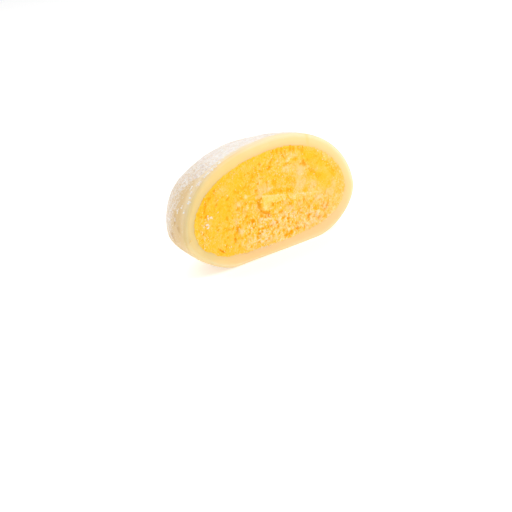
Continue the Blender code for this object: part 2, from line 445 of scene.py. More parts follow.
def floured_dough_material():
    """Dry dough outside: a bare creamy edge painted paler as light, painted shade in the creases, tan dough
    under thin starch, and white where starch is thick and on top, where light is painted too.
    """
    material, add, set_shader = new_material("floured rice dough")
    starch_here = painted(add, "starch")
    bare = ramp(add, number(add, "DIVIDE", painted(add, "behind"), BARE_REACH), BARE_COLOURS)
    bare = tinted(add, bare, painted(add, "pale_edge"), 0.8, PALE_EDGE_TINT)
    bare = tinted(add, bare, painted(add, "crease"), 0.6, CREASE_SHADE_TINT)
    grain = cloudy(add, 1700.0, 3.0, 0.75)
    drift = cloudy(add, 420.0, 3.0, 0.6)
    speckle = number(add, "MULTIPLY_ADD", grain, 0.75, number(add, "MULTIPLY", drift, 0.25))
    heaped = number(add, "ADD", speckle, number(add, "MULTIPLY", starch_here, 0.25))
    cover = add("MapRange", {"Value": heaped, "From Min": 0.60, "From Max": 0.80},
                interpolation_type="SMOOTHSTEP").outputs[0]
    colour = blend_colours(add, cover, bare, ramp(add, cloudy(add, 1300.0, 3.0, 0.7), STARCH_COLOURS))
    thick = number(add, "MULTIPLY", painted(add, "well_floured"), starch_here)
    colour = tinted(add, colour, thick, 0.55, THICK_STARCH_TINT)
    rough = number(add, "MULTIPLY_ADD", cover, 0.3, 0.62)
    bump = add("Bump", {"Height": speckle, "Strength": 0.9, "Distance": 0.3 * MM})
    set_shader({"Base Color": colour, "Roughness": rough, "Normal": bump.outputs["Normal"],
                "Subsurface Weight": 0.4, **DOUGH_GLOW, "Sheen Weight": 0.25, "Sheen Roughness": 0.6})
    return material


skin.data.materials.append(cut_dough_material())
skin.data.materials.append(floured_dough_material())
for face in skin.data.polygons:
    face.material_index = 1 if all(is_outside[index] for index in face.vertices) else 0
bpy.ops.object.select_all(action="DESELECT")
skin.select_set(True)
bpy.context.view_layer.objects.active = skin
bpy.ops.object.shade_smooth_by_angle(angle=math.radians(KNIFE_EDGE_ANGLE))
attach(skin, "root")
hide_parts("rice_cake_skin")

# Golden filling
# Sweet yellow bean and custard paste, steamed dry enough to crumble. The knife smeared it smooth at both
# ends, lifted a flake in the middle and tore the lower side into crumbs, and its pores show under the top.

FACE_COLUMNS = 360
FACE_ROWS = 180
FACE_SETBACK = 0.02
FACE_SPREAD = 0.5
BACK_START = 1.2
BACK_COLUMNS = 60
BACK_RINGS = 90
CRUMB_SEED = 7

FLAKE_START = -4.5
FLAKE_END = 15.0
FLAKE_EDGE = 14.35
FLAKE_FALL = 0.22
FLAKE_LIFT = 0.65
FLAKE_SLOPE = 1.3
FLAKE_TALL = 4.6

# Small torn shelves as (start across, start up, end across, end up, lift).
SHELVES = (
    (-6.6, 9.6, -2.4, 8.9, 0.42),
    (-6.8, 6.1, -3.2, 5.8, 0.40),
    (3.6, 8.3, 7.4, 7.6, 0.40),
    (7.6, 7.4, 12.0, 6.0, 0.36),
    (-12.6, 8.6, -9.8, 8.0, 0.30),
    (7.5, 5.4, 12.5, 4.6, 0.28),
    (-0.4, 7.2, 3.2, 6.8, 0.24),
)
# A pore's depth also paints it darker, as the shade inside it.
PORE_CARVE = 0.45        # how much of a pore's depth is cut out; the rest is only its darker tone
# Pores and tears seen one by one, as (across, up, length, width, lean in degrees, depth).
PORES = (
    (-4.95, 12.9, 1.1, 0.18, 88, 0.20), (-4.3, 10.35, 0.95, 0.32, -34, 0.80),
    (-2.15, 11.6, 0.4, 0.28, 35, 0.85), (-3.45, 9.6, 0.9, 0.24, 85, 0.50), (0.4, 11.5, 0.5, 0.18, -10, 0.30),
    (5.8, 7.2, 1.4, 0.3, -18, 0.30), (7.2, 10.2, 0.6, 0.18, 85, 0.30), (-8.1, 9.4, 0.6, 0.42, 0, 0.42),
    (-5.1, 6.8, 0.5, 0.28, 20, 0.35), (-13.85, 6.6, 0.5, 0.3, 80, 0.85), (-13.7, 7.8, 0.3, 0.22, 50, 0.5),
    (-14.0, 9.3, 0.3, 0.22, 40, 0.35), (-16.7, 6.05, 0.5, 0.16, 85, 0.5), (2.1, 3.5, 0.9, 0.45, 20, 0.80),
    (0.5, 3.3, 0.45, 0.3, 20, 0.70), (4.2, 3.9, 0.4, 0.3, 0, 0.70), (11.0, 4.6, 0.7, 0.3, 25, 0.60),
    (4.2, 5.2, 0.36, 0.34, 0, 0.36), (-7.3, 4.0, 0.32, 0.36, 0, 0.34), (-18.0, 5.15, 0.85, 0.18, -43, 0.9),
    (9.0, 18.4, 0.75, 0.36, -62, 0.75), (3.7, 19.7, 0.36, 0.28, 0, 0.36), (0.5, 23.5, 0.6, 0.26, 62, 0.34),
    (1.7, 23.1, 0.6, 0.26, 70, 0.34), (3.0, 23.3, 0.8, 0.26, 76, 0.34), (4.0, 22.6, 0.65, 0.28, 80, 0.36),
    (5.7, 22.9, 0.8, 0.28, 84, 0.34), (6.7, 22.7, 0.9, 0.28, 90, 0.36), (8.1, 22.4, 0.5, 0.26, 90, 0.30),
    (9.4, 22.1, 0.7, 0.26, 95, 0.32), (8.9, 21.5, 0.45, 0.28, 60, 0.30), (3.3, 21.7, 0.8, 0.22, -60, 0.36),
    (-3.8, 21.8, 0.3, 0.3, 0, 0.25), (-0.6, 20.9, 0.4, 0.2, -60, 0.28), (-1.5, 20.0, 0.4, 0.34, 0, 0.28),
    (-3.8, 20.1, 0.6, 0.24, -40, 0.34), (-6.0, 16.0, 0.5, 0.3, 30, 0.42), (-17.4, 19.3, 0.36, 0.3, 30, 0.35),
    (-19.2, 17.9, 0.5, 0.34, 45, 0.45), (-20.4, 16.8, 0.6, 0.34, 60, 0.50),
    (-21.0, 15.4, 0.4, 0.26, 65, 0.30), (-9.6, 10.8, 0.5, 0.34, 0, 0.30), (-16.7, 14.9, 0.35, 0.3, 0, 0.16),
    (-14.4, 13.7, 0.4, 0.25, 20, 0.16), (-11.8, 13.5, 0.4, 0.3, 70, 0.24), (-9.5, 20.1, 0.4, 0.34, 0, 0.18),
    (-9.9, 13.9, 0.3, 0.6, 0, 0.20), (-8.9, 17.7, 0.4, 0.3, 20, 0.20),
)
# Flat golden-orange patches where a crumb was pulled off, as (across, up, length, width, lean in degrees).
ORANGE_PATCHES = (
    (6.7, 20.0, 1.2, 0.7, 0), (10.6, 15.6, 1.4, 0.9, 20), (12.6, 14.4, 0.9, 0.9, 0), (3.7, 15.6, 1.3, 0.9, 0),
    (3.8, 13.6, 1.2, 0.8, 0), (-0.3, 16.1, 0.8, 0.7, 0), (0.2, 14.4, 1.6, 0.4, -8), (3.0, 10.5, 0.8, 0.4, 0),
    (-10.2, 17.6, 1.1, 0.6, -30), (8.2, 12.0, 0.9, 0.7, 0), (-10.8, 15.6, 1.0, 0.5, 30),
    (-5.6, 12.4, 0.6, 1.4, 0), (-0.1, 11.6, 0.9, 0.4, 0), (9.2, 9.0, 0.9, 0.4, 10), (15.9, 11.6, 0.6, 0.8, 0),
    (-15.9, 9.6, 1.4, 0.8, 40), (10.5, 6.9, 1.4, 0.6, -10), (6.9, 7.5, 1.0, 0.5, -10),
    (-7.6, 7.5, 0.9, 0.8, 0), (-1.1, 6.0, 0.9, 0.6, 0), (-21.3, 10.0, 0.9, 1.2, 0), (-11.0, 8.4, 0.8, 0.6, 0),
    (17.2, 13.4, 0.8, 1.4, 0), (-17.9, 18.2, 1.1, 0.7, 40), (14.9, 8.4, 0.6, 0.8, 0), (8.6, 8.2, 0.7, 0.5, 0),
    (-6.2, 19.4, 1.0, 0.8, 0), (-5.2, 20.6, 0.9, 0.5, 20), (-1.2, 14.15, 1.1, 0.35, -8),
    (1.3, 13.8, 1.2, 0.35, -8), (3.5, 13.35, 0.9, 0.3, -8), (2.8, 10.5, 0.8, 0.45, -30),
    (10.6, 7.3, 1.2, 0.8, 0), (-10.7, 12.8, 1.0, 0.7, 0), (-7.4, 18.5, 1.0, 0.6, 0),
    (15.9, 16.2, 0.7, 0.9, 0),
)
# Dry pinkish patches, as (across, up, length, width, lean in degrees).
BLUSH_PATCHES = (
    (6.8, 20.9, 1.1, 0.6, 0), (7.5, 16.9, 1.3, 1.2, 0), (7.2, 13.9, 1.5, 1.1, 0), (12.9, 16.6, 0.7, 0.6, 0),
    (12.4, 15.9, 0.6, 0.4, 0), (11.1, 12.9, 1.2, 0.7, 0), (2.8, 9.4, 1.2, 0.7, -15), (5.7, 9.6, 0.9, 0.6, 0),
    (8.0, 3.6, 1.4, 0.6, 20), (-10.0, 12.4, 0.9, 0.9, 0), (-17.4, 16.9, 0.7, 1.1, 0),
    (15.1, 9.3, 1.3, 1.3, 0), (16.8, 11.3, 0.8, 1.6, 0), (-4.1, 16.1, 1.6, 0.9, 15),
    (-12.9, 10.6, 0.4, 1.0, 0), (0.9, 8.4, 1.5, 0.6, -10), (-2.6, 7.1, 1.2, 0.5, 0),
    (11.6, 4.4, 1.0, 0.6, 25), (13.4, 6.6, 0.9, 1.0, 0), (-3.6, 9.4, 0.7, 0.4, 0), (11.7, 9.3, 1.2, 0.9, 0),
    (-2.4, 15.4, 1.2, 0.7, 0), (3.7, 18.6, 1.2, 0.9, 0), (-5.2, 14.6, 1.0, 0.7, 0), (12.2, 18.2, 1.3, 0.7, 0),
    (-4.2, 3.8, 1.2, 0.7, 0), (1.5, 11.3, 0.9, 0.6, 0), (-14.3, 6.7, 0.7, 0.6, 0),
)
# Pale crumbs seen one by one, as (across, up, length, width, lean in degrees).
PALE_CRUMBS = (
    (-9.3, 15.4, 0.7, 0.45, 0), (-11.5, 14.2, 0.5, 0.6, 0), (5.7, 21.7, 0.3, 0.7, 0),
    (4.4, 20.7, 0.8, 0.5, 40), (-7.9, 8.7, 0.6, 0.4, 0), (-4.6, 11.4, 0.5, 1.2, 0), (-2.8, 11.0, 0.5, 0.5, 0),
    (-12.2, 7.8, 0.6, 0.5, 0), (6.4, 5.2, 0.5, 0.9, 30), (-4.5, 3.9, 1.2, 0.7, 0), (4.7, 4.4, 0.9, 0.6, 0),
    (-1.2, 9.6, 1.1, 0.6, 0), (-13.1, 5.4, 0.8, 0.7, 0), (2.0, 7.5, 1.0, 0.6, 0), (8.7, 5.5, 0.8, 0.6, 0),
    (-6.6, 4.1, 1.0, 0.6, 0), (-12.5, 10.0, 0.7, 0.6, 0), (3.7, 18.7, 0.9, 0.6, 0), (11.7, 9.4, 0.7, 0.4, 0),
    (-5.2, 14.5, 0.8, 0.5, 0), (-2.2, 15.3, 0.9, 0.5, 0),
)
# Places that the knife smeared smooth and golden, as (across, up, length, width, lean in degrees).
SMEARS = (
    (14.4, 13.6, 3.0, 2.4, -50), (11.4, 19.2, 4.6, 1.9, -35), (13.4, 17.2, 2.6, 1.6, -50),
    (-16.4, 14.2, 5.4, 4.4, 60), (-16.0, 6.6, 6.2, 3.6, -22), (-19.6, 8.4, 4.0, 2.4, 75),
    (-11.0, 19.0, 5.0, 2.2, 30), (-4.0, 22.6, 3.6, 1.0, 12),
)
BULGE_REACH = 0.26
# Where the filling was pressed a little over the dough, as (across, up, length, width, lean in degrees).
BULGES = (
    (-24.2, 9.4, 3.4, 1.6, -68), (-17.5, 3.6, 3.4, 1.2, -18), (1.5, 2.6, 4.6, 1.2, 3),
    (20.1, 12.0, 1.4, 4.5, 0), (-23.2, 7.2, 3.0, 1.6, -52),
)

CRUMB_COLOURS = (
    (0.0, (232, 132, 8)), (0.14, (252, 164, 2)), (0.27, (254, 180, 12)), (0.46, (253, 192, 44)),
    (0.64, (254, 206, 102)), (0.92, (254, 226, 172)),
)
SMEAR_COLOURS = ((0.0, (236, 140, 6)), (0.14, (252, 176, 1)), (0.46, (253, 193, 12)), (0.9, (254, 205, 84)))
BLUSH_TINT = (252, 206, 146)
LEMON_TINT = (254, 218, 90)


def over(places, size, make):
    """A number from make for each place (across, up), with the places shrunk so that size becomes one."""
    return np.array([make(Vector((across / size, 0.0, up / size))) for across, up in places])


def spot_share(places, across, up, length, width, lean, sharp=1.3, ragged=0.0):
    """1 in the middle of a leaning oval spot, falling to 0 past its edge, which ragged makes uneven."""
    lean = math.radians(lean)
    along = (places[:, 0] - across) * math.cos(lean) + (places[:, 1] - up) * math.sin(lean)
    beside = (places[:, 1] - up) * math.cos(lean) - (places[:, 0] - across) * math.sin(lean)
    away = ((along / length) ** 2 + (beside / width) ** 2) * (1 + ragged)
    return np.exp(-np.clip(away, 0, 30) ** sharp)


def scattered_spots(seed, count, across_range, up_range, sizes):
    """More spots, as (across, up, length, width, lean in degrees)."""
    draw = random.Random(seed)
    spots = []
    for _ in range(count):
        size = draw.uniform(*sizes)
        spots.append((draw.uniform(*across_range), draw.uniform(*up_range),
                      size * draw.uniform(1.0, 2.2), size, draw.uniform(-30, 80)))
    return spots


def crumb_bumps(places, size, turn, layer):
    """Crumbs of about this size: a dome on each, lower or higher by its own height, with cracks between."""
    domes = np.empty(len(places))
    for index, (across, up) in enumerate(places):
        place = Vector((across / size, layer, up / size))
        place += 0.45 * noise.noise_vector(place * 0.8)
        distances, centres = noise.voronoi(place)
        own = noise.cell(centres[0] * turn)
        domes[index] = max(0.0, 1 - (distances[0] / 0.8) ** 2) * (0.6 + 0.4 * own)
    return domes


def torn_shelf(places, shelf):
    """A small step: sharp above, and running out below over a millimetre and a half."""
    start, start_up, end, end_up, lift = shelf
    share = (places[:, 0] - start) / (end - start)
    ragged = 0.25 * over(places, 0.6, noise.noise)
    below = start_up + (end_up - start_up) * share + ragged - places[:, 1]
    ends = smooth_rise(-0.05, 0.08, share) * (1 - smooth_rise(0.7, 1.1, share))
    return lift * ends * smooth_rise(-0.06, 0.22, below) * (1 - smooth_rise(0.25, 1.7, below))


def strip_share(below_edge, width, ragged):
    """1 on the pale strip along the flake's upper edge, whose lower side is ragged."""
    lower_side = smooth_rise(width - 0.35, width, below_edge + 2.2 * ragged)
    return smooth_rise(-0.05, 0.12, below_edge) * (1 - lower_side)


def torn_face(places):
    """How far the torn face stands out, and its tone, coarseness, smear, blush and lemon, all 0 to 1."""
    across, up = places.T

    # The knife left it smooth at both ends, and coarsest along the foot and on the flake.
    smear = np.zeros(len(places))
    for spot in SMEARS:
        smear = np.maximum(smear, spot_share(places, *spot))
    torn_low = 1 - smooth_rise(7.5, 11.0, up + 0.1 * across)
    torn_low = np.maximum(torn_low, 0.75 * spot_share(places, -11.4, 11.4, 2.6, 3.4, -10))
    flaked = spot_share(places, 1.0, 11.0, 7.0, 2.4, -12, 2)
    coarse = np.maximum(0.50 + 0.50 * torn_low, 0.85 * flaked) * (1 - 0.72 * smear)

    # Everywhere it is torn into crumbs of two sizes, with grit between them. The tone follows them, paler on
    # the crumbs and deeper orange in the cracks, partly the paste's own uneven colour and partly painted
    # shade.
    swell = over(places, 7.5, noise.noise)
    torn = over(places, 2.0, lambda place: noise.fractal(place + Vector((3, 7, 1)), 0.7, 2.2, 4))
    clouds = over(places, 3.4, lambda place: noise.fractal(place + Vector((1, 2, 8)), 0.8, 2.1, 3))
    streaked = places * (1.25, 0.8)
    crumbs = crumb_bumps(places, 0.95, 7.3, 2.0) - 0.35
    small = crumb_bumps(streaked, 0.5, 5.1, 5.0) - 0.35
    grit = over(streaked, 0.27, noise.noise)
    out = 0.2 * swell + coarse * (0.18 * torn + 0.12 * crumbs) + (0.02 + 0.07 * coarse) * small
    out += (0.008 + 0.022 * coarse) * grit
    tone = 0.51 + 0.06 * clouds + 0.09 * torn_low + coarse * (0.10 * torn + 0.28 * crumbs + 0.34 * small)
    tone += 0.16 * small + (0.12 + 0.24 * coarse) * grit
    tone -= 0.06 * smear * smooth_rise(5, 10, across)
    blush = 0.4 * smooth_rise(-0.1, 0.9, clouds) + 0.3 * smooth_rise(2, 9, across) * (1 - smear)

    # The lifted flake: a torn-off strip along its top, painted paler as highlight where it faces the light
    # above, brightest on its ridge and corner, and its ragged left end with the shadow behind that painted
    # on.
    ragged = 0.3 * over(places, 0.9, noise.noise) + 0.12 * over(places, 0.35, noise.noise)
    below_edge = FLAKE_EDGE - FLAKE_FALL * (across - FLAKE_START) - up + 0.3 * ragged
    end_line = across - FLAKE_START + 1.2 * smooth_rise(0.1, 1.6, below_edge)
    end_line -= 0.4 * smooth_rise(2.4, 3.6, below_edge) + 1.6 * smooth_rise(3.5, 4.8, below_edge)
    torn_end = smooth_rise(-0.15, 0.15, end_line + ragged)
    slope = smooth_rise(-0.1, FLAKE_SLOPE, below_edge + 0.3 * ragged)
    lobe = 1 - smooth_rise(1.2, 3.4, across - FLAKE_START)
    lip = 1 - smooth_rise(FLAKE_TALL - 0.7 - 1.6 * (1 - lobe), FLAKE_TALL, below_edge + 2 * ragged)
    thinning = 1 - 0.5 * smooth_rise(FLAKE_SLOPE, FLAKE_TALL, below_edge)
    fade = 1 - smooth_rise(0.0, FLAKE_END - FLAKE_START, across - FLAKE_START)
    out += FLAKE_LIFT * torn_end * slope * lip * thinning * fade
    strip = strip_share(below_edge, 1.9 - 0.09 * (across - FLAKE_START), ragged)
    left_lobe = spot_share(places, -4.4, 12.0, 1.0, 2.0, 12, 2)
    tone += 0.09 * left_lobe * torn_end * (1 - strip)
    ridge_highlight = np.exp(-((below_edge - 0.16) / 0.16) ** 2)
    on_flake = smooth_rise(-0.3, 0.3, below_edge) * (1 - smooth_rise(4.0, 5.0, below_edge))
    riser = torn_end * (1 - torn_end) * 4 * on_flake * lobe
    lemon = torn_end * np.maximum(strip, left_lobe) * (1 - smooth_rise(4.0, 12.0, across - FLAKE_START))
    corner = torn_end * spot_share(places, -3.0, 13.3, 2.2, 0.8, -6) * (below_edge > 0)
    lemon += 0.5 * corner
    tone += 0.07 * corner
    # Painted shadow along the flake's left end, turning paler at its top.
    tone += (0.30 * torn_end - 0.24) * riser * (1 - 0.6 * smooth_rise(2.8, 3.6, below_edge))
    # Painted highlight on the strip and its ridge.
    bright = 0.19 * strip * fade ** 0.5 + 0.24 * ridge_highlight * (0.35 + 0.65 * fade)
    tone += bright * torn_end * (across < FLAKE_END + 1)

    # Small shelves, painted paler where their steps face the light above; pores, painted deep orange as the
    # shade inside them; patches where a crumb came off, pale crumbs and dry blushes.
    for shelf in SHELVES:
        step = torn_shelf(places, shelf)
        out += step
        tone += 0.55 * step
    scattered = [(*spot, 0.22) for spot in scattered_spots(11, 46, (-9, 12), (16.5, 23.0), (0.12, 0.22))]
    scattered += [(*spot, 0.30) for spot in scattered_spots(12, 110, (-13.5, 15), (3.2, 10.2), (0.13, 0.30))]
    scattered += [(*spot, 0.14) for spot in scattered_spots(13, 70, (-21, 18), (5, 19), (0.10, 0.2))]
    scattered += [(*spot, 0.26) for spot in scattered_spots(15, 60, (-23, -9), (4.5, 19), (0.12, 0.24))]
    uneven = np.clip(1.1 * over(places, 0.42, noise.noise) + 0.7 * over(places, 0.2, noise.noise), -0.55, 2)
    for *spot, depth in list(PORES) + scattered:
        hole = spot_share(places, *spot, ragged=uneven)
        out -= PORE_CARVE * depth * hole
        tone -= (0.2 + 0.7 * depth) * hole
    for spot in ORANGE_PATCHES:
        patch = spot_share(places, *spot, ragged=uneven)
        tone -= 0.2 * patch
        blush -= 0.3 * patch
    for spot in list(PALE_CRUMBS) + scattered_spots(14, 70, (-13, 15), (3, 10.5), (0.2, 0.42)):
        crumb = spot_share(places, *spot, ragged=uneven)
        out += 0.16 * crumb
        tone += 0.22 * crumb
    for spot in BLUSH_PATCHES:
        blush += 0.75 * spot_share(places, *spot, ragged=uneven)
    return out, tone, coarse, smear, np.clip(blush * (1 - 0.7 * lemon), 0, 1), lemon


def reach_towards(line, places):
    """How far from the middle a closed line lies, in the direction of each place."""
    turn = np.arctan2(line[:, 1], line[:, 0])
    order = np.argsort(turn)
    reach = np.linalg.norm(line, axis=1)
    return np.interp(np.arctan2(places[:, 1], places[:, 0]), turn[order], reach[order], period=2 * math.pi)


# The vector noise that bends the rows of crumbs would start from the clock if it weren't seeded.
noise.seed_set(CRUMB_SEED)

# The face starts as a flat grid, is rounded to the hollow's outline, and is then torn. It spreads a little
# into the dough's wall, where it sinks, so that only crumbs show past the outline.
bpy.ops.object.select_all(action="DESELECT")
bpy.ops.mesh.primitive_grid_add(x_subdivisions=FACE_COLUMNS, y_subdivisions=FACE_ROWS, size=2)
filling = bpy.context.object
filling.name = filling.data.name = "torn_golden_filling"
grid = places_of(filling.data)
disc = grid[:, :2] * np.sqrt(1 - grid[:, 1::-1] ** 2 / 2)
spread = (grown(HOLLOW_LEFT, FACE_SPREAD), grown(HOLLOW_RIGHT, FACE_SPREAD),
          HOLLOW_FLOOR - FACE_SPREAD, HOLLOW_TOP + FACE_SPREAD)
spread_outline = outline(*spread)
middle = (spread_outline.max(axis=0) + spread_outline.min(axis=0)) / 2
half_size = (spread_outline.max(axis=0) - spread_outline.min(axis=0)) / 2
edge = reach_towards((spread_outline - middle) / half_size, disc)
flat = disc * edge[:, None] * half_size + middle

away, _ = nearest_on(hollow_outline, flat)
inside_unit = (flat - middle) / (half_size - FACE_SPREAD)
rim = reach_towards((hollow_outline - middle) / (half_size - FACE_SPREAD), inside_unit)
past_rim = np.where(np.linalg.norm(inside_unit, axis=1) > rim, away, -away)

# Towards the rim the paste is calmer. Above and at the left the moist dough has wetted it smooth there.
stands_out, tone, coarse, smear, blush, lemon = torn_face(flat)
calm = smooth_rise(-1.2, 0.2, past_rim)
moist = np.maximum(smooth_rise(13, 20, flat[:, 1]), smooth_rise(-10, -16, flat[:, 0]))
moist *= smooth_rise(-1.7, -0.3, past_rim) * smooth_rise(10, 4, flat[:, 0])
smear = np.maximum(smear, moist)
tone -= 0.03 * moist
blush *= 1 - moist
spills = (0.16 + 0.4 * coarse) * over(flat, 0.9, noise.noise)
spills += (0.08 + 0.15 * coarse) * over(flat, 0.4, noise.noise)
crumbled = past_rim - np.maximum(spills, -0.03)
for spot in BULGES:
    crumbled -= BULGE_REACH * spot_share(flat, *spot)
tone += 0.12 * smooth_rise(-0.3, 0.05, crumbled)
sunk = np.maximum(smooth_rise(-0.05, FACE_SPREAD, crumbled),
                  smooth_rise(0.7 * FACE_SPREAD, FACE_SPREAD, past_rim))
stands_out = stands_out * (1 - 0.9 * calm) - FACE_SETBACK * (1 - calm) + 0.04 * calm - 0.5 * sunk
set_places(filling.data, np.column_stack((flat[:, 0], -stands_out, flat[:, 1])))
face_count = len(flat)

back = turned_half("back", *spread, BACK_COLUMNS, BACK_RINGS)
back_places = places_of(back.data)
depth = back_places[:, 1].max()
back_places[:, 1] = BACK_START + back_places[:, 1] * (depth - BACK_START) / depth
set_places(back.data, back_places)
join_and_bridge(filling, back)

# The paste behind the face doesn't show, and has one look all over.
behind_face = len(filling.data.vertices) - face_count
for name, on_face, elsewhere in (("tone", tone, 0.45), ("smear", smear, 0.5),
                                 ("blush", blush, 0.3), ("lemon", lemon, 0.0)):
    paint(filling.data, name, np.concatenate((on_face, np.full(behind_face, elsewhere))))
face_places = places_of(filling.data)[:face_count]
put_in_place(filling.data)


def filling_material():
    """Crumbly paste: deep orange in pores, painted as the shade inside them, golden where smeared, pale and
    peach on dry crumbs.
    """
    material, add, set_shader = new_material("torn golden paste")
    smear_here = painted(add, "smear")
    grain = cloudy(add, 3000.0, 3.0, 0.7)
    lowered = number(add, "SUBTRACT", painted(add, "tone"), 0.176)
    lifted = number(add, "MULTIPLY_ADD", number(add, "SUBTRACT", grain, 0.2), 0.62, lowered)
    blush_share = number(add, "MULTIPLY", painted(add, "blush"), number(add, "MULTIPLY", lifted, 1.8))
    lemon_share = number(add, "MULTIPLY", painted(add, "lemon"), lifted)
    dry = tinted(add, ramp(add, lifted, CRUMB_COLOURS), blush_share, 0.75, BLUSH_TINT)
    dry = tinted(add, dry, lemon_share, 0.5, LEMON_TINT)
    smooth = ramp(add, lifted, SMEAR_COLOURS)
    colour = blend_colours(add, number(add, "MULTIPLY", smear_here, 0.8), dry, smooth)
    rough = number(add, "SUBTRACT", 0.75, number(add, "MULTIPLY", smear_here, 0.25))
    bump = add("Bump", {"Height": grain, "Strength": 0.2, "Distance": 0.08 * MM})
    set_shader({"Base Color": colour, "Roughness": rough, "Normal": bump.outputs["Normal"],
                "Specular IOR Level": 0.2, "Subsurface Weight": 0.15,
                "Subsurface Radius": (1.0, 0.65, 0.25), "Subsurface Scale": 0.35 * MM})
    return material


filling.data.materials.append(filling_material())
for face in filling.data.polygons:
    face.use_smooth = True
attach(filling, "root")
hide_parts("golden_filling")

# Starch dust
# Potato starch, dusted over the cake so that it doesn't stick. It clings as fine grains all over the outside,
# and in small lumps just behind the cut, where the knife pushed it together.

GRAIN_COUNT = 23000
GRAIN_SIZE = (0.04, 0.09)
LUMP_SIZE = (0.24, 0.42)
LUMP_COPIES = 9
LOOSE_LUMP_TRIES = 260

# Lumps seen one by one, as (across, behind, up) near the left edge of the cut.
LUMPS = (
    (-14.3, 0.5, 25.1), (-15.7, 0.5, 24.6), (-16.7, 0.6, 24.2), (-17.9, 0.5, 23.6), (-18.8, 0.6, 23.2),
    (-20.2, 0.6, 22.3), (-21.0, 0.8, 21.7), (-22.6, 1.3, 20.4), (-23.5, 0.8, 19.5), (-24.2, 0.7, 18.4),
    (-25.4, 1.4, 16.6), (-25.3, 3.8, 16.4), (-25.9, 4.4, 14.5), (-25.1, 2.6, 17.4), (-21.8, 2.2, 21.1),
)

# Specks of starch that the knife carried onto the cut, as (across, up, size, count).
SPECKS = (
    (-20.3, 13.8, 0.4, 5), (-19.2, 13.5, 0.36, 4), (-20.8, 12.1, 0.42, 7), (-17.2, 14.2, 0.18, 3),
    (-11.1, 21.5, 0.18, 2), (14.7, 17.8, 0.18, 3), (2.2, 17.1, 0.18, 2), (1.4, 17.6, 0.14, 2),
    (-12.9, 10.6, 0.2, 3), (-15.5, 5.4, 0.22, 3), (11.8, 3.9, 0.2, 3), (1.3, 26.4, 0.12, 2),
    (4.2, 25.6, 0.12, 2), (-0.4, 25.2, 0.12, 1), (-16.9, 17.0, 0.14, 2), (-9.4, 15.6, 0.14, 2),
    (-7.0, 2.5, 0.2, 4), (-5.6, 2.4, 0.2, 5), (-4.3, 2.3, 0.2, 4),
)


def joined_copies(name, grain, spots):
    """One mesh of many copies of a small grain. Each spot is a matrix, in millimetres on the cut."""
    points = places_of(grain.data)
    faces = [tuple(face.vertices) for face in grain.data.polygons]
    turned = np.array(spots)
    all_points = np.einsum("nij,pj->npi", turned[:, :3, :3], points) + turned[:, None, :3, 3]
    all_faces = [tuple(index + copy * len(points) for index in face)
                 for copy in range(len(spots)) for face in faces]
    mesh = bpy.data.meshes.new(name)
    mesh.from_pydata(all_points.reshape(-1, 3).tolist(), [], all_faces)
    piece = bpy.data.objects.new(name, mesh)
    bpy.context.scene.collection.objects.link(piece)
    bpy.data.objects.remove(grain)
    put_in_place(mesh)
    return piece


def small_lump(segments, rings, evenness):
    """One grain: a small ball of flat faces, a little dented."""
    bpy.ops.object.select_all(action="DESELECT")
    bpy.ops.mesh.primitive_uv_sphere_add(segments=segments, ring_count=rings, radius=1)
    lump = bpy.context.object
    for vertex in lump.data.vertices:
        vertex.co *= evenness + (1 - evenness) * noise.noise(vertex.co * 1.7)
    return lump


def resting(place, normal, size, flatness, draw):
    """A matrix that lays a grain of this size on a surface, turned at random and pressed flatter."""
    upright = Vector(normal).to_track_quat("Z", "Y").to_matrix().to_4x4()
    spin = Matrix.Rotation(draw.uniform(0, 2 * math.pi), 4, "Z")
    stretch = Matrix.Diagonal((size * draw.uniform(0.8, 1.4), size * draw.uniform(0.7, 1.1),
                               size * flatness, 1))
    return Matrix.Translation(Vector(place)) @ upright @ spin @ stretch


draw = random.Random(5)
outside_faces = [face for face in skin.data.polygons if face.material_index == 1]
weights = []
for face in outside_faces:
    cover = sum(starch[index] for index in face.vertices) / len(face.vertices)
    above_foot = skin_places[face.vertices[0]][2] > 0.3
    weights.append(face.area * (0.03 + cover ** 1.5) * above_foot)
spots = []
for face in draw.choices(outside_faces, weights, k=GRAIN_COUNT):
    shares = [draw.random() for _ in face.vertices]
    total = sum(shares)
    place = sum((Vector(skin_places[i]) * s for i, s in zip(face.vertices, shares)), Vector()) / total
    normal = skin_normals[face.vertices[0]]
    size = draw.uniform(*GRAIN_SIZE) * draw.choice((0.7, 1.0, 1.0, 1.5))
    spots.append(resting(place, normal, size, 0.55, draw))
dust = joined_copies("starch_dust", small_lump(4, 2, 1.0), spots)

lump_spots = []
for lump_place in LUMPS:
    for _ in range(LUMP_COPIES):
        around = np.array(lump_place) + [draw.gauss(0, 0.26), draw.gauss(0, 0.12), draw.gauss(0, 0.14)]
        index = np.linalg.norm(skin_places[:outside_count] - around, axis=1).argmin()
        size = draw.uniform(*LUMP_SIZE) * 0.7
        lump_spots.append(resting(skin_places[index], skin_normals[index], size, 0.3, draw))
for _ in range(LOOSE_LUMP_TRIES):
    index = draw.randrange(outside_count)
    if starch[index] > 0.25 and skin_places[index][2] > 0.5:
        size = draw.uniform(*LUMP_SIZE) * 0.6
        lump_spots.append(resting(skin_places[index], skin_normals[index], size, 0.45, draw))
lumps = joined_copies("starch_lumps", small_lump(8, 5, 0.8), lump_spots)

speck_spots = []
for across, up, size, count in SPECKS:
    for _ in range(count):
        around = (across + draw.gauss(0, 0.8 * size), up + draw.gauss(0, 0.6 * size))
        index = np.hypot(*(flat - around).T).argmin()
        stands = -face_places[index][1] if past_rim[index] < 0 else 0.0
        place = (around[0], -stands, around[1])
        speck_spots.append(resting(place, (0, -1, 0), size * draw.uniform(0.5, 0.9), 0.6, draw))
specks = joined_copies("damp_starch_specks", small_lump(8, 6, 0.7), speck_spots)


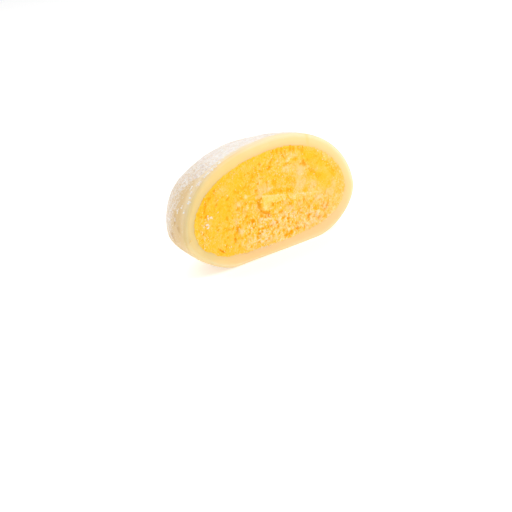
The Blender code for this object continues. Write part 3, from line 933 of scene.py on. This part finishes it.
def starch_material(name, pale, deep):
    """Starch without any shine, uneven between two colours."""
    material, add, set_shader = new_material(name)
    uneven = number(add, "MULTIPLY_ADD", cloudy(add, 900.0, 2.0), 3.0, -1.0)
    set_shader({"Base Color": blend_colours(add, uneven, linear(pale), linear(deep)),
                "Roughness": 1.0, "Specular IOR Level": 0.2})
    return material


dry_starch = starch_material("dry starch", (255, 253, 248), (247, 229, 212))
damp_starch = starch_material("damp starch", (254, 238, 214), (250, 224, 192))
for piece, finish in ((dust, dry_starch), (lumps, dry_starch), (specks, damp_starch)):
    piece.data.materials.append(finish)
    for face in piece.data.polygons:
        face.use_smooth = True
    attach(piece, "root")

# Loose crumbs
# Bits of the filling that the knife dragged loose. Most lie along the torn lower side of the cut, and a few
# were smeared onto the dough.

CRUMB_COUNT = 1100
LOOSE_CRUMB_COLOURS = ((0.3, (254, 192, 62)), (0.5, (255, 216, 122)), (0.7, (255, 236, 178)))

# Crumbs that stuck to the cut dough, as (across, up, size).
CRUMBS_ON_DOUGH = ((-26.1, 9.8, 0.26), (-25.8, 10.1, 0.18), (-14.9, 24.6, 0.14), (16.6, 4.0, 0.12))

crumb_spots = []
while len(crumb_spots) < CRUMB_COUNT:
    index = draw.randrange(face_count)
    if past_rim[index] > 0.1 or draw.random() > coarse[index] ** 2 + 0.04:
        continue
    size = draw.uniform(0.07, 0.17) * draw.choice((0.8, 1.0, 1.5))
    crumb_spots.append(resting(face_places[index] - (0, 0.1 * size, 0), (0, -1, 0), size, 0.5, draw))
for across, up, size in CRUMBS_ON_DOUGH:
    crumb_spots.append(resting((across, 0, up), (0, -1, 0), size, 0.4, draw))
crumbs = joined_copies("filling_crumbs", small_lump(7, 5, 0.7), crumb_spots)


def crumb_material():
    """Dry crumbs of the filling, each a little paler or deeper than the next."""
    material, add, set_shader = new_material("dry golden crumb")
    colour = ramp(add, cloudy(add, 1100.0, 1.0), LOOSE_CRUMB_COLOURS)
    set_shader({"Base Color": colour, "Roughness": 0.7, "Subsurface Weight": 0.2,
                "Subsurface Radius": (1.0, 0.6, 0.2), "Subsurface Scale": 0.3 * MM})
    return material


crumbs.data.materials.append(crumb_material())
for face in crumbs.data.polygons:
    face.use_smooth = True
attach(crumbs, "root")

# Studio
# A white table under a bright tent of light, with one large soft lamp high on the right that throws the
# flake's shadow, and the camera low on the left of the cut, leaning to the right.

CAMERA_TURN = math.radians(36.9)
CAMERA_RISE = math.radians(16.7)
CAMERA_LEAN = math.radians(9.32)
CAMERA_AWAY = 366 * MM
LENS = 110.3
SENSOR = 36.0
PICTURE = 512
AIM_PIXEL = (286.5, 249.2)

bpy.ops.object.select_all(action="DESELECT")
bpy.ops.mesh.primitive_plane_add(size=6.0, location=(0, 0, 0))
table = bpy.context.object
table.name = table.data.name = "white_table"
table_finish, _, set_table = new_material("white table")
set_table({"Base Color": (0.8, 0.8, 0.8, 1), "Emission Color": (1.0, 1.0, 1.0, 1),
           "Emission Strength": 0.44, "Roughness": 0.8})
table.data.materials.append(table_finish)

world = bpy.data.worlds.new("bright tent")
world.use_nodes = True
world.node_tree.nodes["Background"].inputs["Color"].default_value = (1.0, 1.0, 1.0, 1)
world.node_tree.nodes["Background"].inputs["Strength"].default_value = 0.555
bpy.context.scene.world = world

sine, cosine = math.sin(CAMERA_TURN), math.cos(CAMERA_TURN)
level_right = Vector((cosine, -sine, 0))
towards = Vector((sine * math.cos(CAMERA_RISE), cosine * math.cos(CAMERA_RISE), -math.sin(CAMERA_RISE)))
level_up = level_right.cross(towards)
right = level_right * math.cos(CAMERA_LEAN) - level_up * math.sin(CAMERA_LEAN)
up_way = level_right * math.sin(CAMERA_LEAN) + level_up * math.cos(CAMERA_LEAN)
aim = Vector((AXIS_X, CUT_Y, 0))
lens_pixels = LENS / SENSOR * PICTURE
off_right = (AIM_PIXEL[0] - PICTURE / 2) / lens_pixels
off_up = (PICTURE / 2 - AIM_PIXEL[1]) / lens_pixels
looking = (towards - right * off_right - up_way * off_up).normalized()
side = looking.cross(up_way).normalized()
camera_data = bpy.data.cameras.new("camera")
camera_data.lens = LENS
camera_data.sensor_width = SENSOR
camera_data.clip_start = 0.01
camera = bpy.data.objects.new("camera", camera_data)
bpy.context.scene.collection.objects.link(camera)
camera.matrix_world = Matrix.Translation(aim - towards * CAMERA_AWAY) @ Matrix(
    (side, side.cross(looking), -looking)).transposed().to_4x4()
bpy.context.scene.camera = camera


def soft_lamp(name, way, away, size, power, colour):
    """A square lamp that looks at the cake from a way given as right, up and towards the camera."""
    lamp_data = bpy.data.lights.new(name, "AREA")
    lamp_data.size = size
    lamp_data.energy = power
    lamp_data.color = colour
    lamp = bpy.data.objects.new(name, lamp_data)
    bpy.context.scene.collection.objects.link(lamp)
    direction = (level_right * way[0] + Vector((0, 0, 1)) * way[1] - towards * way[2]).normalized()
    facing = direction.to_track_quat("Z", "Y").to_matrix().to_4x4()
    lamp.matrix_world = Matrix.Translation(aim + direction * away) @ facing


soft_lamp("key lamp", (0.84, 0.74, 0.22), 0.25, 0.14, 0.265, (1.0, 0.98, 0.95))
soft_lamp("back lamp", (-0.55, 0.95, -0.45), 0.5, 0.40, 1.25, (1.0, 0.985, 0.985))

bpy.context.scene.view_settings.view_transform = "Standard"
bpy.context.scene.view_settings.look = "None"
